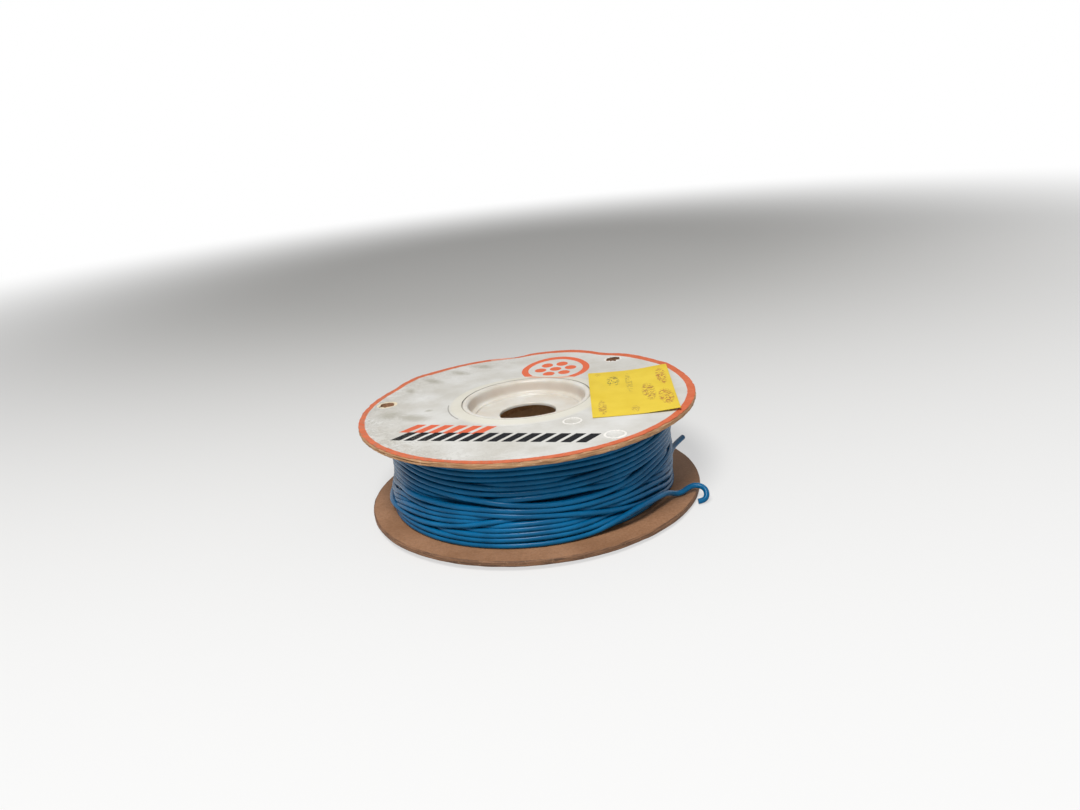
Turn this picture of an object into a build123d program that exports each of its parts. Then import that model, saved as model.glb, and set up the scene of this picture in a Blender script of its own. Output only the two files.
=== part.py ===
from build123d import *
import math
import os

# Cable drum that stands on one end: two hardboard flanges held apart by a cardboard tube,
# a moulded plastic hub in each end, a printed paper face on the top flange, a note stuck on it,
# and single-core cable wound on the tube with both of its ends loose.
# Lengths are in millimetres. The drum's axis is Z and z = 0 is the level floor under it.

# Flanges
flange_diameter = 300.0
board_thickness = 4.8
board_edge_round = 0.8

# Cardboard tube between the flanges
tube_length = 77.6
tube_outer_diameter = 118.4
tube_wall = 3.5

# Moulded hub: its spigot fits the tube, and its cup, rim and lip are sized from the spigot
bore_diameter = 51.0
rim_height = 2.4
rim_overhang = 2.5
cup_wall = 4.5
cup_flare = 2.5
ledge_depth = 10.0
ledge_width = 3.0
ledge_height = 2.0
hub_floor_thickness = 3.0
lip_reach = 13.5
lip_thickness = 1.2
spigot_wall = 2.5
spigot_reach = 15.0
rim_round = 0.8
bore_edge_round = 1.2

# Holes in the top flange, each as angle from +X in degrees and distance of its centre from the rim or the tube
tie_hole_diameter = 14.0
tie_hole_inset = 17.0
open_tie_hole_angles = (169.0, 47.0)
papered_tie_hole_angle = -60.0
start_hole_diameter = 13.0
start_hole_gap = 23.8
start_hole_angle = -64.0

# Printed paper face
face_thickness = 0.4
face_margin = 0.5
paper_hole_margin = 0.4

# Stuck-on note, which butts against the hub's rim
note_width = 76.0
note_length = 127.0
note_thickness = 0.3
note_angle = -3.5
note_rim_gap = 0.7
note_shift = 0.7

# Cable and its winding
cable_diameter = 4.8
turn_pitch = 5.2
winding_diameter = 257.0
winding_bulge = 1.0
winding_headroom = 1.4

# Clearances
slip_fit = 0.2
seat_gap = 0.3

# Loose outer end: it leaves the winding, drops on the bottom flange and hooks round its rim
tail_route = (
    (85.6, -99.9, 20.6),
    (98.7, -87.2, 19.8),
    (108.6, -74.9, 17.2),
    (114.4, -67.2, 13.4),
    (119.4, -63.2, 10.2),
    (125.2, -61.4, 10.2),
    (130.6, -57.4, 12.4),
    (136.0, -55.6, 14.4),
    (142.2, -57.4, 13.8),
    (145.6, -61.4, 10.2),
    (145.4, -65.4, 6.0),
    (142.0, -67.6, 3.2),
    (137.2, -67.6, 2.9),
)
tail_bend_share = 0.45

# Loose inner end: it springs off the far side of the winding
start_route = (
    (121.9, -50.6, 31.6),
    (126.6, -37.4, 31.3),
    (129.9, -24.2, 31.3),
    (132.3, -11.9, 31.8),
    (136.0, -2.0, 33.0),
    (141.0, 6.5, 34.6),
)

# Values that follow from the sizes above
flange_radius = flange_diameter / 2
bottom_board_z = rim_height
winding_space_z = bottom_board_z + board_thickness
top_board_z = winding_space_z + tube_length
top_face_z = top_board_z + board_thickness
middle_z = winding_space_z + tube_length / 2
tube_radius = tube_outer_diameter / 2
tube_bore_radius = tube_radius - tube_wall
spigot_radius = tube_bore_radius - slip_fit
board_hole_radius = spigot_radius + slip_fit
cup_foot_radius = spigot_radius - cup_wall
cup_mouth_radius = cup_foot_radius + cup_flare
rim_radius = spigot_radius + rim_overhang
lip_radius = spigot_radius + lip_reach
lip_seat_radius = lip_radius + slip_fit
tie_hole_ring_radius = flange_radius - tie_hole_inset
start_hole_ring_radius = tube_radius + start_hole_gap
paper_hole_diameter = tie_hole_diameter + 2 * paper_hole_margin
note_distance = rim_radius + note_rim_gap + note_width / 2
face_z = top_face_z + face_thickness
winding_base_z = winding_space_z
winding_height = tube_length - winding_headroom
winding_bore_radius = tube_radius + seat_gap


def disc(radius, hole_radius, thickness, base_z):
    """Flat ring that stands on base_z."""
    ring = Circle(radius) - Circle(hole_radius)
    return Pos(0, 0, base_z) * extrude(ring, thickness)


def drill(angle, ring_radius, diameter):
    """Cutter that passes through the whole drum, parallel to its axis."""
    return Rot(0, 0, angle) * Pos(ring_radius, 0, middle_z) * Cylinder(diameter / 2, 2 * flange_diameter)


def board(base_z, lip_seat_z):
    """Hardboard disc with the hub's hole and the shallow seat pressed by the hub's lip."""
    blank = disc(flange_radius, board_hole_radius, board_thickness, base_z)
    outer_edges = blank.edges().filter_by(GeomType.CIRCLE).sort_by(SortBy.RADIUS)[-2:]
    blank = fillet(outer_edges, board_edge_round)
    seat = disc(lip_seat_radius, board_hole_radius / 2, lip_thickness, lip_seat_z)
    return blank - seat


def bottom_flange():
    return board(bottom_board_z, bottom_board_z)


def top_flange():
    plate = board(top_board_z, top_face_z - lip_thickness)
    for angle in (*open_tie_hole_angles, papered_tie_hole_angle):
        plate -= drill(angle, tie_hole_ring_radius, tie_hole_diameter)
    return plate - drill(start_hole_angle, start_hole_ring_radius, start_hole_diameter)


def core_tube():
    return disc(tube_radius, tube_bore_radius, tube_length, winding_space_z)


def top_hub():
    """Turned section of the cup, its rim, its lip and the spigot inside the tube."""
    floor_depth = ledge_depth + ledge_height
    ledge_radius = cup_foot_radius - ledge_width
    spigot_end = -board_thickness - spigot_reach
    under_floor = -floor_depth - hub_floor_thickness
    bore_radius = bore_diameter / 2
    outline = (
        (bore_radius, -floor_depth),
        (ledge_radius, -floor_depth),
        (ledge_radius, -ledge_depth),
        (cup_foot_radius, -ledge_depth),
        (cup_mouth_radius, rim_height),
        (rim_radius, rim_height),
        (rim_radius, 0),
        (lip_radius, 0),
        (lip_radius, -lip_thickness),
        (spigot_radius, -lip_thickness),
        (spigot_radius, spigot_end),
        (spigot_radius - spigot_wall, spigot_end),
        (spigot_radius - spigot_wall, under_floor),
        (bore_radius, under_floor),
    )
    section = make_face(Polyline(*outline, close=True))
    corners = section.vertices()
    rim_corners = corners.sort_by(Axis.Y)[-2:]
    section = fillet(rim_corners, rim_round)
    bore_corner = section.vertices().sort_by_distance((bore_radius, -floor_depth, 0))[0]
    section = fillet(bore_corner, bore_edge_round)
    return Pos(0, 0, top_face_z) * revolve(Plane.XZ * section, Axis.Z)


def bottom_hub():
    return mirror(top_hub(), about=Plane.XY.offset(middle_z))


def face_label():
    """Paper disc glued over the board and the hub's lip, open at the rim and at two tie holes."""
    sheet = disc(flange_radius - face_margin, rim_radius + seat_gap, face_thickness, top_face_z)
    for angle in open_tie_hole_angles:
        sheet -= drill(angle, tie_hole_ring_radius, paper_hole_diameter)
    return sheet


def sticky_note():
    sheet = extrude(Rectangle(note_width, note_length), note_thickness)
    return Rot(0, 0, note_angle) * Pos(note_distance, note_shift, face_z) * sheet


def winding_radius_at(height):
    """Outer radius of the winding, slightly fuller in the middle."""
    share = 2 * height / winding_height - 1
    return winding_diameter / 2 + winding_bulge * (1 - share ** 2) - winding_bulge / 2


def cable_winding():
    """Turned solid with its bore, and one rounded rib for each turn of the outer layer."""
    turns = round(winding_height / turn_pitch)
    pitch = winding_height / turns
    groove = cable_diameter / 2
    side = []
    for turn in range(turns):
        low, high = turn * pitch, (turn + 1) * pitch
        middle = (low + high) / 2
        side.append(ThreePointArc(
            (winding_radius_at(low) - groove, low),
            (winding_radius_at(middle), middle),
            (winding_radius_at(high) - groove, high),
        ))
    start, end = side[0] @ 0, side[-1] @ 1
    back = Polyline(
        end,
        (winding_bore_radius, winding_height),
        (winding_bore_radius, 0),
        start,
    )
    section = make_face(Curve() + [*side, back])
    return Pos(0, 0, winding_base_z) * revolve(Plane.XZ * section, Axis.Z)


def bend_radii(route, share):
    """Radius of the arc at each inner point, set by the shorter run beside it and the turn there."""
    points = [Vector(*point) for point in route]
    radii = []
    for before, here, after in zip(points, points[1:], points[2:]):
        arriving, leaving = here - before, after - here
        shorter = min(arriving.length, leaving.length)
        half_turn = math.radians(arriving.get_angle(leaving)) / 2
        radii.append(share * shorter / math.tan(half_turn))
    return radii


def cable_run(name, route):
    """Round tube along straight runs joined by tangent arcs."""
    radii = bend_radii(route, tail_bend_share)
    path = FilletPolyline(*route, radius=radii)
    section = Plane(origin=path @ 0, z_dir=path % 0) * Circle(cable_diameter / 2)
    tube = sweep(section, path=path)
    expected = math.pi * cable_diameter ** 2 / 4 * path.length
    print(name, "length", round(path.length, 1), "radii", [round(radius, 1) for radius in radii],
          "volume over section times length", round(tube.volume / expected, 4))
    return tube


def cable_tail():
    return cable_run("cable_tail", tail_route)


def cable_start():
    return cable_run("cable_start", start_route)


parts = {
    "bottom_flange": bottom_flange,
    "top_flange": top_flange,
    "core_tube": core_tube,
    "bottom_hub": bottom_hub,
    "top_hub": top_hub,
    "face_label": face_label,
    "sticky_note": sticky_note,
    "cable_winding": cable_winding,
    "cable_tail": cable_tail,
    "cable_start": cable_start,
}

os.makedirs("parts", exist_ok=True)
for node, build in parts.items():
    export_step(build(), "parts/" + node + ".step")
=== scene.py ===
import bpy
import math
import numpy as np
from mathutils import Matrix, Vector, noise


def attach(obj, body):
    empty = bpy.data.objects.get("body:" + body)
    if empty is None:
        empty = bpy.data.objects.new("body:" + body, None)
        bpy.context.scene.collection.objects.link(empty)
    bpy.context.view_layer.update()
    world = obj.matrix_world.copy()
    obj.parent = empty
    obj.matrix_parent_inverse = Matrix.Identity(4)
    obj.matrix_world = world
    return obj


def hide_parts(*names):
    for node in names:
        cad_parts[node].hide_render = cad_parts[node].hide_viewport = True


# Cable drum standing on one end. Lengths are in millimetres until they go into a mesh, which is in metres.
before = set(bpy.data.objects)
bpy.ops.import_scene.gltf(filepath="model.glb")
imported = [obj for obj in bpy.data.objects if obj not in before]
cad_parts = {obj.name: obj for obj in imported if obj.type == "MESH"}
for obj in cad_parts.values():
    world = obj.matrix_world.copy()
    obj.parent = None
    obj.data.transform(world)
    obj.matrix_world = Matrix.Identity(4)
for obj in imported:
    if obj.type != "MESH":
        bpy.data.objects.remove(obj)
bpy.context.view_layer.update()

MM = 0.001

# The drum, as the frame has it
drum_height = 92.0
board_radius = 150.0
board_thickness = 4.8
board_hole_radius = 55.7
bottom_board_z = 2.4
top_board_z = 84.8
top_face_z = 89.6
face_thickness = 0.4
lip_seat_radius = 69.2
lip_thickness = 1.2
tie_hole_radius = 7.0
start_hole_radius = 6.5
tie_hole_ring_radius = 133.0
start_hole_ring_radius = 83.0
open_tie_hole_angles = (169.0, 47.0)
papered_tie_hole_angle = -60.0
start_hole_angle = -64.0
cable_diameter = 4.8

# The stuck-on note: its size, and its middle before it is turned round the drum's axis
note_width = 76.0
note_length = 127.0
note_middle = 95.4
note_shift = -7.0
note_turn = math.radians(-3.5)

# The photograph's view
camera_place = (0.0116, -0.6960, 0.3110)
camera_pitch = 18.19
camera_roll = 6.21
camera_lens = 27.03

# Light
world_strength = 0.27
lamp_target = (0, 0, 0.04)
key_place = (-0.24, -0.90, 1.46)
key_size = 0.6
key_power = 25.5
fill_place = (1.1, 0.9, 0.8)
fill_size = 1.0
fill_power = 1.2

# Routes of the two loose cable ends
tail_route = (
    (85.6, -99.9, 20.6), (98.7, -87.2, 19.8), (108.6, -74.9, 17.2), (114.4, -67.2, 13.4),
    (119.4, -63.2, 10.2), (125.2, -61.4, 10.2), (130.6, -57.4, 11.6), (136.0, -55.6, 12.9),
    (142.2, -57.4, 12.5), (145.6, -61.4, 10.2), (145.4, -65.4, 6.0), (142.0, -67.6, 3.2),
    (137.2, -67.6, 2.9),
)
start_route = (
    (114.5, -49.5, 32.5), (119.5, -37.0, 32.2), (122.6, -25.0, 32.2), (126.0, -15.0, 32.6),
    (132.0, -5.0, 33.4), (140.2, 5.6, 34.2),
)


def paint(code):
    """sRGB hex colour turned to the linear colour that a shader takes."""
    shares = [int(code[place:place + 2], 16) / 255 for place in (1, 3, 5)]
    linear = [share / 12.92 if share <= 0.04045 else ((share + 0.055) / 1.055) ** 2.4 for share in shares]
    return (*linear, 1.0)


def deselect():
    bpy.ops.object.select_all(action="DESELECT")


def only(piece):
    """Makes piece the one selected and active object."""
    deselect()
    piece.select_set(True)
    bpy.context.view_layer.objects.active = piece


def placed(name, data):
    """New object in the scene's collection."""
    thing = bpy.data.objects.new(name, data)
    bpy.context.scene.collection.objects.link(thing)
    return thing


def on_circle(radius, angle):
    """Place on a circle round the drum's axis, at an angle in degrees from +X."""
    turn = math.radians(angle)
    return radius * math.cos(turn), radius * math.sin(turn)


# Camera

camera = placed("photo_camera", bpy.data.cameras.new("photo_camera"))
camera.data.lens = camera_lens
camera.matrix_world = (
    Matrix.Translation(camera_place)
    @ Matrix.Rotation(math.radians(90 - camera_pitch), 4, "X")
    @ Matrix.Rotation(math.radians(-camera_roll), 4, "Z")
)
bpy.context.scene.camera = camera
bpy.context.scene.view_settings.view_transform = "Standard"


# Shapes

def rough(angle, size, seed, radius=board_radius):
    """Smooth random value from about -1 to 1 round the drum, whose bumps are size mm long."""
    x, y = on_circle(radius, angle)
    return noise.noise(Vector((x / size, y / size, seed)))


def ease(value, low, high):
    """0 below low, 1 above high, and a smooth step between them."""
    share = min(1.0, max(0.0, (value - low) / (high - low)))
    return share * share * (3 - 2 * share)


def turned(name, outline, steps):
    """Ring turned from a closed outline of (radius, height) points."""
    deselect()
    bpy.ops.mesh.primitive_circle_add(vertices=len(outline), fill_type="NOTHING")
    ring = bpy.context.active_object
    ring.name = name
    for vertex, (radius, height) in zip(ring.data.vertices, outline):
        vertex.co = (radius * MM, 0, height * MM)
    bpy.ops.object.mode_set(mode="EDIT")
    bpy.ops.mesh.select_all(action="SELECT")
    bpy.ops.mesh.spin(steps=steps, angle=math.tau, center=(0, 0, 0), axis=(0, 0, 1))
    bpy.ops.mesh.select_all(action="SELECT")
    bpy.ops.mesh.remove_doubles(threshold=1e-6)
    bpy.ops.mesh.normals_make_consistent(inside=False)
    bpy.ops.object.mode_set(mode="OBJECT")
    return ring


def reshape(piece, rule):
    """Moves each vertex to where rule(radius, angle, height) says, in mm and degrees."""
    for vertex in piece.data.vertices:
        x, y, z = vertex.co / MM
        radius, angle, height = rule(math.hypot(x, y), math.degrees(math.atan2(y, x)), z)
        vertex.co = Vector((*on_circle(radius, angle), height)) * MM


def rounded(corners, arc_steps=6):
    """Closed outline through (radius, height, rounding) corners, with an arc where rounding is above 0."""
    outline = []
    for place, (radius, height, rounding) in enumerate(corners):
        here = Vector((radius, height))
        if rounding == 0:
            outline.append((radius, height))
            continue
        before = (Vector(corners[place - 1][:2]) - here).normalized()
        after = (Vector(corners[(place + 1) % len(corners)][:2]) - here).normalized()
        half = before.angle(after) / 2
        middle = here + (before + after).normalized() * rounding / math.sin(half)
        start = here + before * rounding / math.tan(half) - middle
        swing = start.angle_signed(here + after * rounding / math.tan(half) - middle)
        for step in range(arc_steps + 1):
            spoke = start.copy()
            spoke.rotate(Matrix.Rotation(-swing * step / arc_steps, 2))
            outline.append(tuple(middle + spoke))
    return outline


def cut_holes(piece, places, radius, raggedness, seed):
    """Cuts a hole of radius at each (angle, ring radius), with its edge torn in and out by raggedness."""
    for number, (angle, ring_radius) in enumerate(places):
        centre = Vector((*on_circle(ring_radius, angle), top_face_z)) * MM
        deselect()
        bpy.ops.mesh.primitive_cylinder_add(vertices=44, radius=radius * MM, depth=40 * MM, location=centre)
        cutter = bpy.context.active_object
        for vertex in cutter.data.vertices:
            side = math.degrees(math.atan2(vertex.co.y, vertex.co.x))
            tear = 1 + raggedness / radius * rough(side, 2.2, seed + 5 * number, radius)
            vertex.co.x *= tear
            vertex.co.y *= tear
        only(piece)
        cut = piece.modifiers.new("hole", "BOOLEAN")
        cut.operation = "DIFFERENCE"
        cut.object = cutter
        bpy.ops.object.modifier_apply(modifier=cut.name)
        bpy.data.objects.remove(cutter)


def use_material(piece, material):
    """Makes material the only one of piece."""
    piece.data.materials.clear()
    piece.data.materials.append(material)


def finish_piece(piece, material, node, smooth_angle=35):
    """Gives piece its material and smooth shading, and hides the CAD node that it stands for."""
    use_material(piece, material)
    if piece.type == "MESH" and smooth_angle:
        only(piece)
        bpy.ops.object.shade_smooth_by_angle(angle=math.radians(smooth_angle))
    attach(piece, "root")
    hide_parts(node)


# Materials

def add(tree, kind, inputs=None, **settings):
    """Adds a shader node; each input is a number, a colour, or the node or socket that feeds it."""
    node = tree.nodes.new("ShaderNode" + kind)
    for name, value in settings.items():
        setattr(node, name, value)
    for key, value in (inputs or {}).items():
        if isinstance(key, int):
            socket = node.inputs[key]
        else:
            socket = next(one for one in node.inputs if one.name == key and one.enabled)
        if isinstance(value, bpy.types.Node):
            value = next(one for one in value.outputs if one.enabled)
        if isinstance(value, bpy.types.NodeSocket):
            tree.links.new(value, socket)
        else:
            socket.default_value = value
    return node


def new_material(name):
    """Empty material with its shader, and the Object coordinates that its patterns read."""
    material = bpy.data.materials.new(name)
    material.use_nodes = True
    tree = material.node_tree
    shader = tree.nodes["Principled BSDF"]
    place = add(tree, "TexCoord").outputs["Object"]
    return material, tree, shader, place


def per_mm(size):
    """Scale of a noise whose blotches are about size mm wide."""
    return 1000 / size


def clouded(tree, cloud, dark, light):
    """Colour that drifts between two paints as a soft noise does."""
    tone = add(tree, "MapRange", {"Value": cloud, "From Min": 0.35, "From Max": 0.65})
    return add(tree, "Mix", {"Factor": tone, "A": paint(dark), "B": paint(light)}, data_type="RGBA")


def join(tree, shader, colour, relief, strength, depth):
    """Gives the shader its colour, and a bump of depth mm from relief."""
    bump = add(tree, "Bump", {"Height": relief, "Strength": strength, "Distance": depth * MM})
    tree.links.new(colour.outputs[2], shader.inputs["Base Color"])
    tree.links.new(bump.outputs[0], shader.inputs["Normal"])


def hardboard(name, face, face_dark, edge, edge_dark, fibre):
    """Hardboard, pressed from wood fibre: smooth matt brown faces with fine flecks, and a paler, furry,
    layered edge where it was sawn."""
    material, tree, shader, place = new_material(name)
    fleck = add(tree, "TexNoise", {"Vector": place, "Scale": per_mm(2.0), "Detail": 6.0, "Roughness": 0.7})
    cloud = add(tree, "TexNoise", {"Vector": place, "Scale": per_mm(38), "Detail": 4.0})
    shade = add(tree, "Math", {0: cloud, 1: fleck}, operation="MULTIPLY")
    tone = add(tree, "MapRange", {"Value": shade, "From Min": 0.14, "From Max": 0.36})
    face_mix = add(tree, "Mix", {"Factor": tone, "A": paint(face_dark), "B": paint(face)}, data_type="RGBA")
    flat = add(tree, "Mapping", {"Vector": place, "Scale": (0.07, 0.07, 1.0)})
    layers = add(tree, "TexNoise", {"Vector": flat, "Scale": per_mm(1.3), "Detail": 5.0, "Roughness": 0.65})
    layer_tone = add(tree, "MapRange", {"Value": layers, "From Min": 0.36, "From Max": 0.62})
    edge_mix = add(tree, "Mix", {"Factor": layer_tone, "A": paint(edge_dark), "B": paint(edge)},
                   data_type="RGBA")
    level = add(tree, "VectorMath", {0: place, 1: (1.0, 1.0, 0.0)}, operation="MULTIPLY")
    reach = add(tree, "VectorMath", {0: level}, operation="LENGTH").outputs["Value"]
    at_edge = add(tree, "MapRange", {"Value": reach, "From Min": 0.1484, "From Max": 0.1492})
    torn = add(tree, "TexNoise", {"Vector": place, "Scale": per_mm(5.0), "Detail": 8.0, "Roughness": 0.85})
    fibres = add(tree, "MapRange", {"Value": torn, "From Min": 0.56, "From Max": 0.64, "To Max": 0.7})
    edge_mix = add(tree, "Mix", {"Factor": fibres, "A": edge_mix, "B": paint(fibre)}, data_type="RGBA")
    colour = add(tree, "Mix", {"Factor": at_edge, "A": face_mix, "B": edge_mix}, data_type="RGBA")
    relief = add(tree, "Mix", {"Factor": at_edge, "A": fleck.outputs["Fac"], "B": layers.outputs["Fac"]})
    join(tree, shader, colour, relief, 0.35, 0.4)
    shader.inputs["Roughness"].default_value = 0.72
    return material


def coated_label_paper():
    """Coated label paper, offset printed: off-white with a dull sheen, a worn orange ring and flat inks."""
    material, tree, shader, place = new_material("coated_label_paper")
    mm = add(tree, "VectorMath", {0: place, "Scale": 1000.0}, operation="SCALE")
    cloud = add(tree, "TexNoise", {"Vector": mm, "Scale": 1 / 45, "Detail": 5.0, "Roughness": 0.6})
    grain = add(tree, "TexNoise", {"Vector": mm, "Scale": 1 / 1.6, "Detail": 5.0, "Roughness": 0.7})
    creases = add(tree, "TexNoise", {"Vector": mm, "Scale": 1 / 14, "Detail": 6.0, "Roughness": 0.75,
                                    "Distortion": 1.2})
    colour = clouded(tree, cloud, "#CBC8C0", "#DDDCD8")

    level = add(tree, "VectorMath", {0: mm, 1: (1.0, 1.0, 0.0)}, operation="MULTIPLY")
    reach = add(tree, "VectorMath", {0: level}, operation="LENGTH").outputs["Value"]
    coordinates = add(tree, "SeparateXYZ", {0: mm})
    turn = add(tree, "Math", {0: coordinates.outputs["Y"], 1: coordinates.outputs["X"]}, operation="ARCTAN2")

    # Grime: stronger at the left and towards the rim, where hands and the ground rubbed it
    side = add(tree, "MapRange", {"Value": coordinates.outputs["X"], "From Min": 60.0, "From Max": -150.0})
    rim = add(tree, "MapRange", {"Value": reach, "From Min": 95.0, "From Max": 148.0})
    worn = add(tree, "Math", {0: side, 1: rim}, operation="MULTIPLY")
    grime = add(tree, "MapRange", {"Value": creases, "From Min": 0.50, "From Max": 0.74})
    for share in (worn, 0.9):
        grime = add(tree, "Math", {0: grime, 1: share}, operation="MULTIPLY")
    colour = add(tree, "Mix", {"Factor": grime, "A": colour, "B": paint("#9A8E7C")}, data_type="RGBA")

    # Grey-green smudges at the left and back left: centre, half length, half width and direction
    for x, y, half_length, half_width, heading in (
        (-42, 121, 16, 8, -20), (-66, 105, 16, 8, -35), (-93, 85, 17, 8, -42), (-112, 62, 10, 5, -70),
        (-100, -22, 20, 11, -30), (-122, -8, 14, 16, 20), (-88, -6, 5, 4, 0),
    ):
        turned_by = (0, 0, math.radians(heading))
        spot = add(tree, "Mapping", {"Vector": level, "Location": (x, y, 0), "Rotation": turned_by,
                                     "Scale": (half_length, half_width, 1)}, vector_type="TEXTURE")
        off = add(tree, "VectorMath", {0: spot}, operation="LENGTH").outputs["Value"]
        ragged = add(tree, "Math", {0: creases, 1: 1.9, 2: off}, operation="MULTIPLY_ADD")
        patch = add(tree, "MapRange", {"Value": ragged, "From Min": 1.95, "From Max": 1.2, "To Max": 0.66})
        colour = add(tree, "Mix", {"Factor": patch, "A": colour, "B": paint("#A6A294")}, data_type="RGBA")

    # Printed ring round the rim, set a little off the centre, paler at the back left
    ring_offset = add(tree, "VectorMath", {0: level, 1: (-0.8, -0.8, 0.0)}, operation="SUBTRACT")
    ring_reach = add(tree, "VectorMath", {0: ring_offset}, operation="LENGTH").outputs["Value"]
    ring_reach = add(tree, "Math", {0: creases, 1: 1.6, 2: ring_reach}, operation="MULTIPLY_ADD")
    ring = add(tree, "MapRange", {"Value": ring_reach, "From Min": 144.0, "From Max": 144.4})
    faded = add(tree, "Math", {0: turn, 1: math.radians(99), 2: math.radians(5)}, operation="COMPARE")
    faded = add(tree, "Math", {0: faded, 1: 0.4}, operation="MULTIPLY")
    ink_cloud = add(tree, "MapRange", {"Value": creases, "From Min": 0.38, "From Max": 0.62})
    ink = add(tree, "Mix", {"Factor": ink_cloud, "A": paint("#D87653"), "B": paint("#CE6846")},
              data_type="RGBA")
    ink = add(tree, "Mix", {"Factor": faded, "A": ink, "B": paint("#E6C3B4")}, data_type="RGBA")
    scuff = add(tree, "MapRange", {"Value": grain, "From Min": 0.27, "From Max": 0.33})
    ring_ink = add(tree, "Math", {0: ring, 1: scuff}, operation="MULTIPLY")
    colour = add(tree, "Mix", {"Factor": ring_ink, "A": colour, "B": ink}, data_type="RGBA")

    # Two rows of plain slanted bars: left end, direction, length, height, spacing, share of ink, colour
    for x, y, heading, length, height, spacing, inked, code in (
        (-108, -56, -20.5, 78, 19.0, 13.0, 0.66, "#DB6848"),
        (-113, -74, -18.3, 168, 19.0, 12.0, 0.70, "#17181C"),
    ):
        turned_by = (0, 0, math.radians(heading))
        row = add(tree, "Mapping", {"Vector": level, "Location": (x, y, 0), "Rotation": turned_by},
                  vector_type="TEXTURE")
        along = add(tree, "SeparateXYZ", {0: row})
        slanted = add(tree, "Math", {0: along.outputs["Y"], 1: -0.42, 2: along.outputs["X"]},
                      operation="MULTIPLY_ADD")
        in_length = add(tree, "Math", {0: slanted, 1: length / 2, 2: length / 2}, operation="COMPARE")
        in_height = add(tree, "Math", {0: along.outputs["Y"], 1: height / 2, 2: height / 2},
                        operation="COMPARE")
        place_in_bar = add(tree, "Math", {0: slanted, 1: spacing}, operation="DIVIDE")
        place_in_bar = add(tree, "Math", {0: place_in_bar}, operation="FRACT")
        in_bar = add(tree, "Math", {0: place_in_bar, 1: inked / 2, 2: inked / 2}, operation="COMPARE")
        bar = in_length
        for share in (in_height, in_bar, scuff):
            bar = add(tree, "Math", {0: bar, 1: share}, operation="MULTIPLY")
        colour = add(tree, "Mix", {"Factor": bar, "A": colour, "B": paint(code)}, data_type="RGBA")

    # Round sign: a ring with seven dots, as the strands of a cable's end
    sign = add(tree, "Mapping", {"Vector": level, "Location": (31, 86, 0), "Scale": (1.04, 1.19, 1.0)},
               vector_type="TEXTURE")
    sign_reach = add(tree, "VectorMath", {0: sign}, operation="LENGTH").outputs["Value"]
    band = add(tree, "Math", {0: sign_reach, 1: 29.5, 2: 3.2}, operation="COMPARE")
    middle_dot = add(tree, "Math", {0: sign_reach, 1: 5.6}, operation="LESS_THAN")
    sign_axes = add(tree, "SeparateXYZ", {0: sign})
    sign_turn = add(tree, "Math", {0: sign_axes.outputs["Y"], 1: sign_axes.outputs["X"]}, operation="ARCTAN2")
    folded = add(tree, "Math", {0: sign_turn, 1: math.radians(30)}, operation="PINGPONG")
    dot_place = add(tree, "CombineXYZ")
    for axis, wave in (("X", "COSINE"), ("Y", "SINE")):
        share = add(tree, "Math", {0: folded}, operation=wave)
        along = add(tree, "Math", {0: sign_reach, 1: share}, operation="MULTIPLY")
        tree.links.new(along.outputs[0], dot_place.inputs[axis])
    dot_reach = add(tree, "VectorMath", {0: dot_place, 1: (14.5, 0.0, 0.0)}, operation="DISTANCE")
    dot_reach = dot_reach.outputs["Value"]
    outer_dots = add(tree, "Math", {0: dot_reach, 1: 5.6}, operation="LESS_THAN")
    marks = band
    for dots in (middle_dot, outer_dots):
        marks = add(tree, "Math", {0: marks, 1: dots}, operation="ADD")
    marks = add(tree, "Math", {0: marks, 1: scuff}, operation="MULTIPLY")
    colour = add(tree, "Mix", {"Factor": marks, "A": colour, "B": paint("#E0704E")}, data_type="RGBA")

    # Paper stretched over the hub's lip: a cream tint that is partly a painted highlight on its slope, and
    # painted shade along the crease at its left
    # Cream over the lip, partly the paper's tint and partly a painted highlight
    lip_cream_and_highlight = add(tree, "MapRange", {"Value": reach, "From Min": 70.5, "From Max": 67.0, "To Max": 0.55})
    colour = add(tree, "Mix", {"Factor": lip_cream_and_highlight, "A": colour, "B": paint("#E2DDCB")}, data_type="RGBA")
    # Thin dark line along the crease at the lip's edge, on the left only: painted shade
    lip_crease_shade = add(tree, "Math", {0: reach, 1: 70.6, 2: 0.55}, operation="COMPARE")
    turned_round = add(tree, "Math", {0: turn}, operation="ABSOLUTE")
    turned_round = add(tree, "Math", {0: turned_round, 1: math.radians(164), 2: math.radians(17)},
                       operation="COMPARE")
    below = add(tree, "Math", {0: coordinates.outputs["Y"], 1: 4.0}, operation="LESS_THAN")
    crease = lip_crease_shade
    for share in (turned_round, below, 0.6):
        crease = add(tree, "Math", {0: crease, 1: share}, operation="MULTIPLY")
    colour = add(tree, "Mix", {"Factor": crease, "A": colour, "B": paint("#77716A")}, data_type="RGBA")

    # Hair cracks in the worn part
    crack = add(tree, "Math", {0: creases, 1: 0.5, 2: 0.014}, operation="COMPARE")
    for share in (worn, 0.7):
        crack = add(tree, "Math", {0: crack, 1: share}, operation="MULTIPLY")
    colour = add(tree, "Mix", {"Factor": crack, "A": colour, "B": paint("#8B8577")}, data_type="RGBA")
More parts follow.
